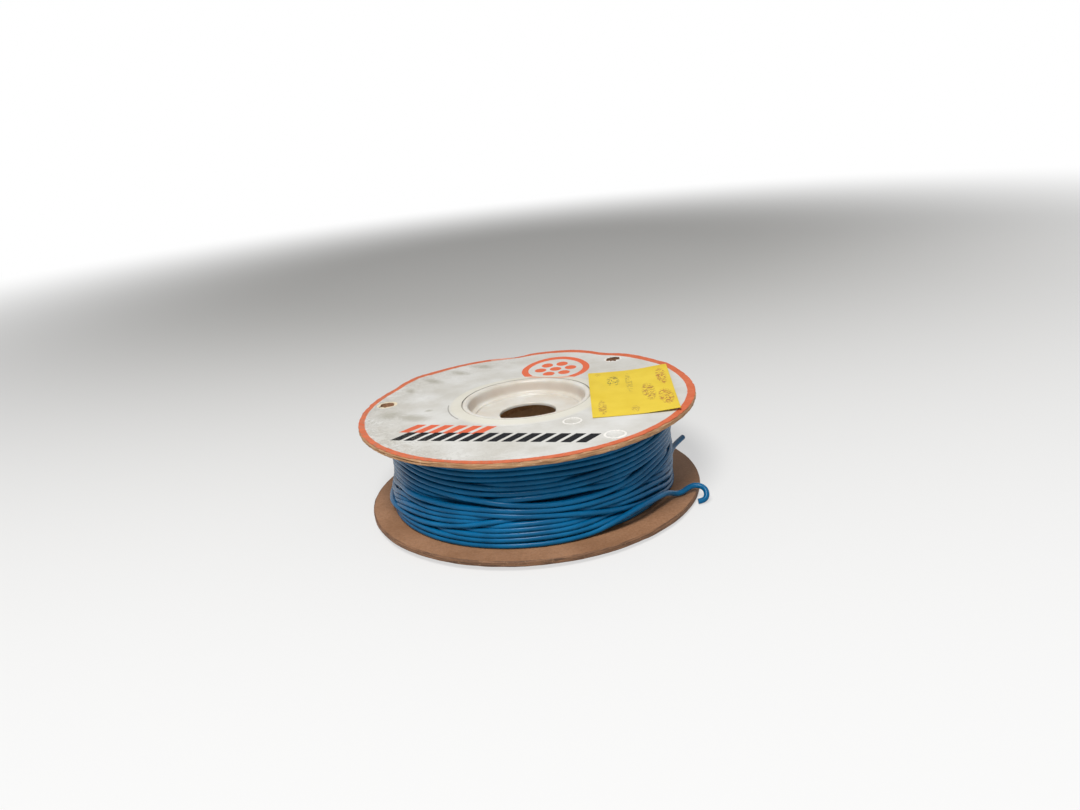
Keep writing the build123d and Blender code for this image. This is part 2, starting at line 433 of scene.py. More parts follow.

    # Pale rings on the raised edge of each covered hole, a painted highlight; torn cream rims at the open
    # holes, the paper's own colour
    for angle, ring_radius, inner, outer, ragged, code, strength in (
        # These two rows are painted highlights on the covered holes' raised edges
        (papered_tie_hole_angle, tie_hole_ring_radius, 7.2, 9.0, 0.6, "#F3F0EA", 0.9),
        (start_hole_angle, start_hole_ring_radius, 6.6, 8.2, 0.6, "#F3F0EA", 0.9),
        (open_tie_hole_angles[0], tie_hole_ring_radius - 1, 0.0, 9.4, 4.0, "#E6D9BE", 1.0),
        (open_tie_hole_angles[1], tie_hole_ring_radius - 1, 0.0, 8.8, 5.0, "#F0ECE4", 0.9),
    ):
        centre = (*on_circle(ring_radius, angle), 0.0)
        off = add(tree, "VectorMath", {0: level, 1: centre}, operation="DISTANCE").outputs["Value"]
        torn = add(tree, "Math", {0: grain, 1: 0.5}, operation="SUBTRACT")
        torn = add(tree, "Math", {0: torn, 1: ragged, 2: off}, operation="MULTIPLY_ADD")
        hole_rim_highlight_and_tear = add(tree, "Math", {0: torn, 1: (inner + outer) / 2, 2: (outer - inner) / 2},
                       operation="COMPARE")
        hole_rim_highlight_and_tear = add(tree, "Math", {0: hole_rim_highlight_and_tear, 1: strength}, operation="MULTIPLY")
        colour = add(tree, "Mix", {"Factor": hole_rim_highlight_and_tear, "A": colour, "B": paint(code)}, data_type="RGBA")

    # Painted shade in the gap where the paper meets the hub's rim
    rim_gap_shade = add(tree, "MapRange", {"Value": reach, "From Min": 59.0, "From Max": 58.5, "To Max": 0.6})
    colour = add(tree, "Mix", {"Factor": rim_gap_shade, "A": colour, "B": paint("#8A8272")}, data_type="RGBA")

    relief = add(tree, "Math", {0: grain, 1: 0.25, 2: creases}, operation="MULTIPLY_ADD")
    join(tree, shader, colour, relief, 0.3, 0.5)
    shader.inputs["Roughness"].default_value = 0.65
    shader.inputs["Specular IOR Level"].default_value = 0.05
    return material


def note_paper():
    """Dyed note paper, calendered: clear yellow, matt, with pen scribbles."""
    material, tree, shader, place = new_material("dyed_note_paper")
    mm = add(tree, "VectorMath", {0: place, "Scale": 1000.0}, operation="SCALE")
    cloud = add(tree, "TexNoise", {"Vector": mm, "Scale": 1 / 30, "Detail": 4.0})
    fibre = add(tree, "TexNoise", {"Vector": mm, "Scale": 1 / 1.5, "Detail": 5.0, "Roughness": 0.7})
    colour = clouded(tree, cloud, "#DDBD22", "#E6C934")
    middle = (note_middle, note_shift, 0)
    sheet = add(tree, "Mapping", {"Vector": mm, "Location": middle, "Rotation": (0, 0, note_turn)},
                vector_type="TEXTURE")

    # Pen scribbles that say nothing: middle of each block, half its width and length, ink and strength
    ink_line = add(tree, "TexNoise", {"Vector": mm, "Scale": 1 / 4.2, "Detail": 1.0, "Distortion": 0.8})
    ink_line = add(tree, "Math", {0: ink_line, 1: 0.5, 2: 0.045}, operation="COMPARE")
    for u, v, half_width, half_length, code, strength in (
        (-16, 26, 5.5, 15, "#4A4020", 0.85), (28, 24, 4.5, 24, "#A24A20", 0.75),
        (13, -14, 5.5, 23, "#96501E", 0.75), (26, -34, 6, 20, "#A0481C", 0.8),
        (-2, 18, 3, 27, "#A98A2C", 0.7), (-29, -46, 3.5, 18, "#A5762C", 0.7),
        (-2, -56, 3.5, 8, "#A8802C", 0.6), (-29, 50, 2.5, 5, "#A5762C", 0.6),
    ):
        spread = (half_width, half_length, 1)
        block = add(tree, "Mapping", {"Vector": sheet, "Location": (u, v, 0), "Scale": spread},
                    vector_type="TEXTURE")
        block = add(tree, "VectorMath", {0: block, 1: (1.0, 1.0, 0.0)}, operation="MULTIPLY")
        block = add(tree, "VectorMath", {0: block}, operation="LENGTH").outputs["Value"]
        inside = add(tree, "MapRange", {"Value": block, "From Min": 1.15, "From Max": 0.9,
                                        "To Max": strength})
        stroke = add(tree, "Math", {0: inside, 1: ink_line}, operation="MULTIPLY")
        colour = add(tree, "Mix", {"Factor": stroke, "A": colour, "B": paint(code)}, data_type="RGBA")

    join(tree, shader, colour, fibre.outputs["Fac"], 0.15, 0.2)
    shader.inputs["Roughness"].default_value = 0.65
    return material


def moulded_plastic():
    """Natural high-impact polystyrene, injection moulded: milky off-white, soft gloss, light passing a
    little way in, with dust specks, and a darker beige band of painted shade round the middle of the cup's
    wall."""
    material, tree, shader, place = new_material("moulded_polystyrene")
    mm = add(tree, "VectorMath", {0: place, "Scale": 1000.0}, operation="SCALE")
    cloud = add(tree, "TexNoise", {"Vector": mm, "Scale": 1 / 26, "Detail": 4.0})
    speck = add(tree, "TexNoise", {"Vector": mm, "Scale": 1 / 1.8, "Detail": 4.0, "Roughness": 0.7})
    colour = clouded(tree, cloud, "#CFC7BA", "#DBD8D0")
    height = add(tree, "SeparateXYZ", {0: mm}).outputs["Z"]
    # Darker beige band round the middle of the cup's wall, away from rim and floor: painted shade
    cup_wall_shade = add(tree, "Math", {0: height, 1: 85.0}, operation="SUBTRACT")
    cup_wall_shade = add(tree, "Math", {0: cup_wall_shade}, operation="ABSOLUTE")
    cup_wall_shade = add(tree, "MapRange", {"Value": cup_wall_shade, "From Min": 5.5, "From Max": 1.0, "To Max": 0.55},
               interpolation_type="SMOOTHSTEP")
    colour = add(tree, "Mix", {"Factor": cup_wall_shade, "A": colour, "B": paint("#BBAA9B")}, data_type="RGBA")
    dirt = add(tree, "MapRange", {"Value": speck, "From Min": 0.66, "From Max": 0.78, "To Max": 0.5})
    colour = add(tree, "Mix", {"Factor": dirt, "A": colour, "B": paint("#9C8468")}, data_type="RGBA")
    join(tree, shader, colour, cloud.outputs["Fac"], 0.12, 0.6)
    shader.inputs["Roughness"].default_value = 0.36
    shader.inputs["Subsurface Weight"].default_value = 0.25
    shader.inputs["Subsurface Radius"].default_value = (1.0, 0.8, 0.55)
    shader.inputs["Subsurface Scale"].default_value = 3 * MM
    return material


def pvc_insulation():
    """Plasticised PVC insulation, extruded: smooth satin blue with faint drag marks and rubbed dust."""
    material, tree, shader, place = new_material("extruded_blue_pvc")
    cloud = add(tree, "TexNoise", {"Vector": place, "Scale": per_mm(24), "Detail": 4.0})
    flat = add(tree, "Mapping", {"Vector": place, "Scale": (0.08, 0.08, 1.0)})
    drag = add(tree, "TexNoise", {"Vector": flat, "Scale": per_mm(0.9), "Detail": 4.0, "Roughness": 0.6})
    colour = clouded(tree, cloud, "#045884", "#086798")
    dust = add(tree, "MapRange", {"Value": drag, "From Min": 0.52, "From Max": 0.78, "To Max": 0.10})
    colour = add(tree, "Mix", {"Factor": dust, "A": colour, "B": paint("#2F86A6")}, data_type="RGBA")
    gloss = add(tree, "MapRange", {"Value": drag, "From Min": 0.3, "From Max": 0.7, "To Min": 0.22,
                                   "To Max": 0.31})
    join(tree, shader, colour, drag.outputs["Fac"], 0.12, 0.15)
    tree.links.new(gloss.outputs[0], shader.inputs["Roughness"])
    shader.inputs["Specular IOR Level"].default_value = 0.15
    return material


def tube_cardboard():
    """Kraft cardboard, spiral wound: brown matt plies with a paler seam that climbs round the wall."""
    material, tree, shader, place = new_material("spiral_wound_cardboard")
    axes = add(tree, "SeparateXYZ", {0: place})
    turn = add(tree, "Math", {0: axes.outputs["Y"], 1: axes.outputs["X"]}, operation="ARCTAN2")
    climb = add(tree, "Math", {0: axes.outputs["Z"], 1: 1000 / 62}, operation="MULTIPLY")
    spiral = add(tree, "Math", {0: turn, 1: 1 / math.tau, 2: climb}, operation="MULTIPLY_ADD")
    share = add(tree, "Math", {0: spiral}, operation="FRACT")
    seam = add(tree, "Math", {0: share, 1: 0.12, 2: 0.12}, operation="COMPARE")
    fibre = add(tree, "TexNoise", {"Vector": place, "Scale": per_mm(2.2), "Detail": 6.0, "Roughness": 0.7})
    colour = clouded(tree, fibre, "#BE8E64", "#D8AC80")
    paler = add(tree, "Math", {0: seam, 1: 0.35}, operation="MULTIPLY")
    colour = add(tree, "Mix", {"Factor": paler, "A": colour, "B": paint("#E6C8A4")}, data_type="RGBA")
    relief = add(tree, "Math", {0: fibre, 1: 0.3, 2: seam}, operation="MULTIPLY_ADD")
    join(tree, shader, colour, relief, 0.4, 0.4)
    shader.inputs["Roughness"].default_value = 0.8
    return material


top_hardboard = hardboard("sawn_hardboard", "#AD8260", "#7E583E", "#C0946A", "#946A46", "#D9C3A6")
bottom_hardboard = hardboard("worn_hardboard", "#A87C5B", "#8A6140", "#8C6446", "#4E3524", "#A88460")
label_paper = coated_label_paper()
yellow_paper = note_paper()
hub_plastic = moulded_plastic()
blue_pvc = pvc_insulation()
kraft_tube = tube_cardboard()


# Loose cable ends

def cable_curve(name, diameter, bevel_resolution):
    """Curve that draws round cable of a diameter in mm, with closed ends."""
    curve = bpy.data.curves.new(name, "CURVE")
    curve.dimensions = "3D"
    curve.bevel_depth = diameter / 2 * MM
    curve.bevel_resolution = bevel_resolution
    curve.use_fill_caps = True
    return curve


def loose_cable(name, route):
    """Round cable whose line is a smooth curve on the route's points."""
    curve = cable_curve(name, cable_diameter, 6)
    spline = curve.splines.new("NURBS")
    spline.points.add(len(route) - 1)
    for point, place in zip(spline.points, route):
        point.co = (*(value * MM for value in place), 1.0)
    spline.order_u = 3
    spline.use_endpoint_u = True
    spline.resolution_u = 16
    return placed(name, curve)


tail = loose_cable("loose_tail", tail_route)
finish_piece(tail, blue_pvc, "cable_tail")
start = loose_cable("loose_start", start_route)
finish_piece(start, blue_pvc, "cable_start")


# Wound cable. Heights are of a turn's centre line where the photograph shows it on a drum of seen_radius,
# at angles from +X.
# The outer turns run down the drum as one cable: each has its seen side, then its height at the back.
outer_turns = (
    (((-155, 88.5), (-140, 84.5), (-130, 82.2), (-110, 81.3), (-90, 81.3), (-20, 81.3)), 81.8),
    (((-155, 84.0), (-140, 81.2), (-130, 78.2), (-110, 76.2), (-90, 76.6), (-80, 76.4), (-70, 75.9),
      (-60, 75.0), (-40, 75.4), (-20, 77.0)), 77.0),
    (((-155, 79.8), (-140, 77.2), (-130, 73.9), (-110, 71.8), (-100, 72.4), (-90, 73.2), (-80, 72.7),
      (-70, 71.4), (-60, 70.6), (-50, 70.7), (-40, 71.6), (-20, 73.4)), 72.2),
    (((-155, 75.4), (-150, 74.6), (-140, 73.0), (-130, 69.5), (-120, 68.0), (-110, 67.0), (-90, 67.6),
      (-80, 67.2), (-70, 66.4), (-60, 66.0), (-50, 66.3), (-40, 67.3), (-30, 68.8), (-20, 70.2)), 67.4),
    (((-155, 71.0), (-145, 70.2), (-140, 68.8), (-135, 66.4), (-130, 65.1), (-120, 62.9), (-110, 61.6),
      (-100, 60.7), (-90, 60.0), (-80, 59.5), (-70, 60.3), (-60, 61.0), (-50, 61.8), (-40, 63.0),
      (-30, 64.4), (-20, 65.6)), 62.6),
    (((-155, 66.6), (-145, 64.8), (-140, 63.0), (-135, 60.8), (-130, 59.8), (-120, 57.8), (-110, 56.1),
      (-100, 55.3), (-90, 55.2), (-80, 55.6), (-70, 55.7), (-60, 56.6), (-50, 57.6), (-40, 58.8),
      (-30, 59.6), (-20, 60.8)), 57.8),
    (((-155, 62.0), (-150, 61.0), (-145, 59.6), (-140, 57.4), (-135, 56.0), (-130, 55.4), (-125, 54.5),
      (-120, 52.8), (-115, 51.3), (-110, 50.3), (-105, 49.0), (-100, 47.3), (-95, 45.3), (-90, 43.7),
      (-80, 42.5), (-70, 42.2), (-60, 43.0), (-55, 44.3), (-50, 46.0), (-45, 48.0), (-40, 49.9),
      (-35, 51.2), (-30, 52.0), (-20, 52.8)), 43.4),
    (((-155, 46.2), (-150, 47.3), (-145, 46.2), (-140, 44.7), (-130, 44.0), (-120, 42.9), (-110, 42.8),
      (-100, 41.1), (-90, 39.4), (-80, 37.9), (-70, 37.0), (-60, 37.2), (-50, 37.9), (-45, 39.2),
      (-40, 40.4), (-30, 41.9), (-20, 45.0)), 38.6),
    (((-160, 36.0), (-155, 38.7), (-150, 40.2), (-145, 40.5), (-140, 39.8), (-135, 38.4), (-130, 38.0),
      (-110, 38.0), (-100, 37.0), (-90, 35.3), (-80, 32.9), (-75, 31.5), (-70, 29.3), (-65, 27.2),
      (-60, 24.7), (-55, 22.8), (-50, 20.8), (-40, 18.6), (-30, 15.0), (-25, 12.4), (-20, 10.6)), 9.8),
    (((-155, 11.2), (-140, 11.2), (-130, 11.3), (-110, 11.1), (-90, 10.9), (-80, 11.0), (-70, 11.8),
      (-65, 12.7), (-60, 14.0), (-55, 15.6), (-50, 17.4)), None),
)

# Turns that lie under those, in the order they were laid. Each closes at the back, and is buried in the
# stretches of angles that its third value gives, which run round the back where the second is lower.
under_turns = (
    (((-118, 23.9), (-110, 24.3), (-100, 24.5), (-90, 24.8), (-80, 24.8), (-74, 24.4), (-60, 26.0),
      (-30, 44.0), (-20, 42.0)), 40.0, ((-71, -27), (30, -117))),
    (((-160, 30.5), (-155, 33.5), (-150, 35.8), (-145, 36.7), (-140, 36.4), (-134, 35.5), (-110, 25.5),
      (-105, 27.2), (-100, 29.5), (-95, 29.6), (-90, 29.0), (-80, 28.4), (-74, 27.4), (-40, 37.5),
      (-30, 37.0), (-20, 36.2)), 33.8, ((-147, -109), (-72, -35))),
    (((-155, 15.4), (-150, 16.0), (-140, 16.4), (-130, 16.7), (-120, 16.4), (-110, 16.1), (-100, 16.4),
      (-90, 16.5), (-80, 16.9), (-70, 17.0), (-65, 18.0), (-60, 18.4), (-55, 19.0), (-20, 18.0)),
      14.6, ((-52, 0),)),
    (((-140, 19.5), (-125, 20.6), (-110, 20.8), (-90, 21.0), (-80, 21.3), (-75, 21.2), (-70, 22.3),
      (-65, 23.2), (-20, 21.0)), 21.4, ((-62, -129),)),
    (((-160, 21.0), (-155, 24.0), (-150, 26.3), (-145, 27.6), (-140, 28.4), (-130, 29.3), (-120, 30.8),
      (-115, 32.2), (-110, 33.5), (-62, 29.8), (-50, 27.3), (-45, 26.3), (-40, 25.0), (-35, 22.5),
      (-30, 20.0), (-25, 17.4), (-20, 14.6)), 19.4, ((-108, -64),)),
    (((-160, 25.7), (-155, 28.8), (-150, 31.5), (-145, 33.2), (-140, 34.0), (-135, 33.6), (-130, 33.9),
      (-120, 34.6), (-110, 35.2), (-60, 36.0), (-40, 34.8), (-35, 33.3), (-30, 31.8), (-25, 30.2),
      (-20, 28.3)), 29.0, ((-106, -42),)),
    (((-155, 58.0), (-150, 56.8), (-145, 54.9), (-140, 52.4), (-135, 50.8), (-130, 50.0), (-120, 48.5),
      (-110, 49.0), (-105, 49.6), (-100, 50.0), (-90, 50.9), (-80, 51.4), (-75, 51.4), (-70, 50.9),
      (-65, 49.3), (-60, 48.3), (-55, 48.4), (-50, 49.4), (-20, 56.0)), 53.0, ((-128, -108), (-51, 25))),
    (((-155, 53.5), (-150, 51.8), (-145, 49.5), (-140, 47.9), (-132, 46.8), (-70, 51.5), (-66, 52.0),
      (-60, 52.4), (-50, 53.1), (-40, 54.9), (-30, 57.0), (-20, 58.6)), 48.2, ((-131, -67),)),
    (((-112, 63.0), (-100, 63.9), (-90, 63.8), (-80, 63.3), (-74, 62.6), (-20, 66.0)),
      67.6, ((-76, -112),)),
    (((-60, 40.6), (-50, 42.4), (-45, 43.9), (-40, 45.6), (-35, 46.9), (-30, 47.8), (-24, 48.4),
      (-16, 49.0)), 50.0, ((-18, -58),)),
    (((-155, 19.4), (-150, 20.2), (-145, 20.9), (-140, 21.6), (-135, 22.0), (-130, 23.2), (-120, 26.4),
      (-110, 30.6), (-105, 32.9), (-101, 33.9), (-90, 34.2), (-75, 33.5), (-60, 32.5), (-50, 32.3),
      (-45, 31.8), (-40, 31.2), (-35, 29.3), (-30, 27.0), (-25, 24.0), (-20, 21.0)), 24.2, ((-97, -73),)),
)

# The winding stands a little off the drum's axis. Its turns are drawn a little thinner than the loose ends,
# and lie a little closer, so that the gaps between them show dark.
winding_shift = (-1.5, -1.0)
wound_diameter = 4.55
stack_pitch = 4.35
lap_steps = 180
first_angle = -170
leave_angle = -55
back_angle = 90
back_wobble = 0.7

# Radii of centre lines: where the knots were read, where the top layer lies, and the layers below it
seen_radius = 127.0
seat_radius = 125.6
highest_radius = 133.0
backing_radius = 122.1
buried_radius = 119.4
core_radius = 112.5
spool_radius = 59.5
sunk_side = 4.6
sunk_middle = -175
deep_gap = 2.6
backing_pitch = 5.15
backing_low = 10.2
backing_turns = 14
core_turns = 15
core_low = 7.6
core_high = 83.2
lowest_turn = 9.8
highest_turn = 82.3

# How the turns are drawn tight, in each round
settle_rounds = 260
calming_rounds = 12
start_share = 0.5
inward_pull = 0.1
trace_pull = 0.08
push_share = 0.3
radius_smoothing = 0.3
height_smoothing = 0.12
seen_slide = 0.9
unseen_slide = 2.4

# Where the outer turns rise from below, and where they lead to the loose ends
climb_steps = 14
climb_depth = 9.0
tail_lead_steps = 7
tail_lead_step = 4.4
start_lead_steps = 24
start_lead_step = 3.4
start_lead_radius = 124
start_lead_dip = 4.5
start_lead_fall = 2.5


def height_on(knots, angle):
    """Height at angle on the smooth line through (angle, height) knots in rising order."""
    after = next(number for number, knot in enumerate(knots) if knot[0] >= angle and number > 0)
    (a0, h0), (a1, h1) = knots[after - 1], knots[after]
    b0, b1 = knots[max(after - 2, 0)], knots[min(after + 1, len(knots) - 1)]
    slope0 = (h1 - b0[1]) / (a1 - b0[0])
    slope1 = (b1[1] - h0) / (b1[0] - a0)
    share = (angle - a0) / (a1 - a0)
    span = a1 - a0
    return (h0 * (1 + 2 * share) * (1 - share) ** 2 + span * slope0 * share * (1 - share) ** 2
            + h1 * share ** 2 * (3 - 2 * share) + span * slope1 * share ** 2 * (share - 1))


def backing_height(number, angle):
    """Height of a turn of the layer under the traced ones."""
    return backing_low + number * backing_pitch + 0.7 * rough(angle, 90, 3 + 7 * number, backing_radius)


def is_buried(angle, stretches):
    """Whether the angle lies in one of the stretches, which run round the back where their end is lower."""
    angle = (angle + 180) % 360 - 180
    for low, high in stretches:
        if low <= angle <= high or (high < low and (angle >= low or angle <= high)):
            return True
    return False


def sunk(angle, height):
    """How much deeper the turns lie at the drum's left, above a third of its height."""
    off = abs((angle - sunk_middle + 180) % 360 - 180)
    return sunk_side * ease(height, 26, 46) * (1 - ease(off, 14, 44))


def sight_line(angle, height):
    """Start and direction, in mm, of the line from the camera through a place on the drum of seen_radius."""
    eye = np.array(camera_place) / MM - (*winding_shift, 0)
    return eye, np.array((*on_circle(seen_radius, angle), height)) - eye


def moved_in(angle, height):
    """Angle and height at which the line of sight through a traced place meets the turn's real radius."""
    eye, way = sight_line(angle, height)
    radius = seat_radius - sunk(angle, height)
    a, b = way[0] ** 2 + way[1] ** 2, eye[0] * way[0] + eye[1] * way[1]
    inner = max(0.0, b * b - a * (eye[0] ** 2 + eye[1] ** 2 - radius ** 2))
    x, y, z = eye + way * (-b - math.sqrt(inner)) / a
    return math.degrees(math.atan2(y, x)), z


def lean(angle):
    """Height that the line of sight gains for each mm it is farther out, or 0 where the drum isn't seen."""
    if not -172 < angle < -8:
        return 0.0
    _, way = sight_line(angle, 45)
    x, y = on_circle(1, angle)
    return min(1.0, way[2] / min(-1.0, way[0] * x + way[1] * y))


def dropped(heights, laid, buried, backing):
    """Radii at which a new turn comes to lie on the backing layer and on the turns laid before it."""
    radii = np.full(len(heights), backing_radius - sunk_side)
    for level, radius, hidden in backing + laid:
        room = np.maximum(0, stack_pitch ** 2 - (heights - level) ** 2)
        rest = np.where((room > 0) & ~np.array(hidden), radius + np.sqrt(room), 0)
        radii = np.maximum(radii, rest)
    return np.where(buried, buried_radius, radii)


def settle(radii, heights, traced, buried, before, after, backing):
    """Draws the turns tight: each slides off its neighbours, a cable's width from them, near its traced
    height. Where the photograph shows them they stay on its lines of sight. Elsewhere they slide further."""
    free = np.array([1 - ease(angle, -174, -160) * (1 - ease(angle, -22, 0)) for angle in lap_angles])
    slide_limit = seen_slide + (unseen_slide - seen_slide) * free
    leaning = np.array([lean(angle) for angle in lap_angles]) * (1 - free)
    seats = np.array([
        [seat_radius - sunk(angle, height) for angle, height in zip(lap_angles, lap)] for lap in traced
    ])
    lowest = np.array([lowest_turn + 1.2 * math.cos(math.radians(angle + 140)) for angle in lap_angles])
    for _ in range(settle_rounds):
        for values, share in ((radii, radius_smoothing), (heights, height_smoothing)):
            flat = values.ravel()
            flat += share * ((flat[before] + flat[after]) / 2 - flat)
        radii -= inward_pull
        goal = traced + leaning * np.clip(radii - seats, -4, 4)
        heights += trace_pull * (goal - heights)
        rise = heights[:, None, :] - heights[None, :, :]
        reach = radii[:, None, :] - radii[None, :, :]
        apart = np.hypot(rise, reach) + 1e-6
        overlap = np.maximum(0, stack_pitch - apart)
        overlap *= ~(buried[:, None, :] | buried[None, :, :])
        overlap[np.arange(len(radii)), np.arange(len(radii))] = 0
        radii += push_share * (overlap * reach / apart).sum(axis=1)
        heights += push_share * (overlap * rise / apart).sum(axis=1)
        np.clip(heights, goal - slide_limit, goal + slide_limit, out=heights)
        np.clip(heights, lowest, highest_turn, out=heights)
        for level, radius, _ in backing:
            room = np.maximum(0, stack_pitch ** 2 - (heights - level) ** 2)
            np.maximum(radii, np.where(room > 0, radius + np.sqrt(room), 0), out=radii)
        np.minimum(radii, highest_radius, out=radii)
        radii[buried] = buried_radius
    for values in (radii, heights):
        flat = values.ravel()
        for _ in range(calming_rounds):
            flat += 0.5 * ((flat[before] + flat[after]) / 2 - flat)


def strand_point(angle, height, radius):
    """Place of a strand, in metres, from its place on the winding, in degrees and mm."""
    x, y = on_circle(float(radius), float(angle))
    return Vector((x + winding_shift[0], y + winding_shift[1], float(height))) * MM


def wound_cable(name, strands, bevel_resolution):
    """Mesh of round cable along each strand, a (points, closed) pair."""
    curve = cable_curve(name, wound_diameter, bevel_resolution)
    curve.twist_mode = "Z_UP"
    for points, closed in strands:
        spline = curve.splines.new("POLY")
        spline.points.add(len(points) - 1)
        for point, place in zip(spline.points, points):
            point.co = (*place, 1.0)
        spline.use_cyclic_u = closed
    only(placed(name, curve))
    bpy.ops.object.convert(target="MESH")
    return bpy.context.active_object


step_angle = 360 / lap_steps
lap_angles = [first_angle + step * step_angle for step in range(lap_steps)]


def traced_lap(knots, turn, seed):
    """Heights of one lap, with a little unevenness on the side that the photograph doesn't show."""
    heights = []
    for angle in lap_angles:
        away = ease(angle, -10, 40) * (1 - ease(angle, 150, 190))
        wobble = back_wobble * away * rough(angle, 60, seed, backing_radius)
        heights.append(height_on(knots, angle + 360 * turn) + wobble)
    return heights


def moved_knots(seen):
    """Traced knots at their real places, in rising order of angle."""
    places = sorted(moved_in(*knot) for knot in seen)
    kept = places[:1]
    for place in places[1:]:
        if place[0] - kept[-1][0] > 1.5:
            kept.append(place)
    return kept


# Heights of every lap, and where it is buried: first the turns underneath, then the outer cable's laps
traced, buried = [], []
for number, (seen, back_height, stretches) in enumerate(under_turns):
    seen = moved_knots(seen)
    next_lap = [(angle + 360, height) for angle, height in seen[:2]]
    knots = [(back_angle - 360, back_height), *seen, (back_angle, back_height), *next_lap]
    traced.append(traced_lap(knots, 0, 11 * number))
    buried.append([is_buried(angle, stretches) for angle in lap_angles])

knots = []
for number, (seen, back_height) in enumerate(outer_turns):
    seen = moved_knots(seen)
    knots += [(angle + 360 * number, height) for angle, height in seen]
    knots.append((back_angle + 360 * number, back_height or seen[-1][1]))
knots.append((back_angle + 360 * len(outer_turns) + 90, knots[-1][1]))
for number in range(len(outer_turns)):
    traced.append(traced_lap(knots, number, 201 + 11 * number))
    is_last = number == len(outer_turns) - 1
    buried.append([is_last and angle > leave_angle for angle in lap_angles])
traced, buried = np.array(traced), np.array(buried)

# The layer that they lie on, and then each lap laid on it and on those before
backing = []
for number in range(backing_turns):
    levels = np.array([backing_height(number, angle) for angle in lap_angles])
    reaches = np.array([backing_radius - sunk(angle, level) for angle, level in zip(lap_angles, levels)])
    backing.append((levels, reaches, np.zeros(lap_steps, bool)))
radii, laid = [], []
for lap_heights, hidden in zip(traced, buried):
    radii.append(dropped(lap_heights, laid, hidden, backing))
    laid.append((lap_heights, radii[-1], hidden))
radii = np.array(radii)
radii = np.where(buried, radii, seat_radius + start_share * (radii - seat_radius))
heights = traced.copy()

# Which step comes before and after each one: the under turns close, and the outer ones follow each other
steps = np.arange(radii.size).reshape(radii.shape)
before, after = np.roll(steps, 1, axis=1), np.roll(steps, -1, axis=1)
outer_first = len(under_turns)
chain = steps[outer_first:].ravel()
before[outer_first:] = np.concatenate([chain[:1], chain[:-1]]).reshape(-1, lap_steps)
after[outer_first:] = np.concatenate([chain[1:], chain[-1:]]).reshape(-1, lap_steps)
settle(radii, heights, traced, buried, before.ravel(), after.ravel(), backing)

# Centre lines: closed ones underneath, and the outer cable's, which ends in the loose tail
under_strands = []
for lap_heights, lap_radii in zip(heights[:outer_first], radii[:outer_first]):
    under_strands.append(([strand_point(*place) for place in zip(lap_angles, lap_heights, lap_radii)], True))
outer_count = (len(outer_turns) - 1) * lap_steps + sum(angle <= leave_angle for angle in lap_angles)
outer_places = zip(lap_angles * len(outer_turns), heights[outer_first:].ravel(), radii[outer_first:].ravel())
outer_points = [strand_point(*place) for place in list(outer_places)[:outer_count]]
climb = []
for back in range(climb_steps, 0, -1):
    radius = radii[outer_first][0] - climb_depth * ease(back, 0, climb_steps)
    climb.append(strand_point(first_angle - back * step_angle, heights[outer_first][0], radius))
outer_points = climb + outer_points
tail_exit = Vector(tail_route[0]) * MM
tail_heading = (Vector(tail_route[1]) - Vector(tail_route[0])).normalized()
for back in range(1, tail_lead_steps + 1):
    share = ease(back, 0, tail_lead_steps + 1)
    target = tail_exit - tail_heading * MM * back * tail_lead_step
    outer_points[-back] = outer_points[-back].lerp(target, 1 - share)
outer_points.append(tail_exit + tail_heading * MM)

# Short lead from inside the winding to the loose start
start_exit = Vector(start_route[0])
start_heading = (Vector(start_route[1]) - start_exit).normalized()
lead_points = []
for step in range(start_lead_steps):
    back = (start_lead_steps - 1 - step) * start_lead_step
    angle = math.degrees(math.atan2(start_exit.y, start_exit.x)) - math.degrees(back / start_lead_radius)
    radius = math.hypot(start_exit.x, start_exit.y) - start_lead_dip * ease(back, 0, 55)
    height = start_exit.z - start_lead_fall * ease(back, 0, 60)
    lead_points.append(Vector((*on_circle(radius, angle), height)) * MM)
lead_points.append((start_exit + start_heading) * MM)

backing_strands = []
for levels, reaches, _ in backing:
    places = []
    for angle, level, reach in zip(lap_angles, levels, reaches):
        places.append(strand_point(angle, level, reach - deep_gap * ease(level, 36, 44)))
    backing_strands.append((places, True))

for name, strands, bevel_resolution in (
    ("wound_outer_turns", [(outer_points, False), (lead_points, False)], 5),
    ("wound_under_turns", under_strands, 5),
    ("wound_backing_turns", backing_strands, 3),
):
    finish_piece(wound_cable(name, strands, bevel_resolution), blue_pvc, "cable_winding", 60)

# The turns deeper down, as one ribbed ring
core_pitch = (core_high - core_low) / core_turns
rib_steps = 6
core_outline = [(spool_radius, core_high), (spool_radius, core_low)]
for number in range(core_turns):
    for step in range(rib_steps):
        swing = math.pi * step / rib_steps
        core_outline.append((
            core_radius + cable_diameter / 2 * math.sin(swing),
            core_low + core_pitch * (number + 0.5 - 0.5 * math.cos(swing)),
        ))
core = turned("wound_inner_turns", core_outline, 120)
finish_piece(core, blue_pvc, "cable_winding", 60)


# Hardboard flanges

face_rings = (56.5, 64, 74, 86, 98, 110, 121, 131, 139, 144.5, 147.6, 149.0)
board_steps = 360
edge_steps = 13
edge_fall = 0.8


def board_outline(low, high, seat_at_top):
    """Section of a board, with its edge in thin layers and the seat that the hub's lip lies in."""
    def face(height):
        return [(ring, height) for ring in face_rings if ring > lip_seat_radius]

    edge = []
    for step in range(edge_steps + 1):
        share = step / edge_steps
        edge.append((board_radius - edge_fall * abs(2 * share - 1) ** 5, low + share * (high - low)))
    seat_z = high - lip_thickness if seat_at_top else low + lip_thickness
    upper, lower = lip_seat_radius, board_hole_radius
    if not seat_at_top:
        upper, lower = lower, upper
    seat = [(upper, high), (upper, seat_z), (lower, seat_z), (lower, low)]
    return face(low) + edge + face(high)[::-1] + seat


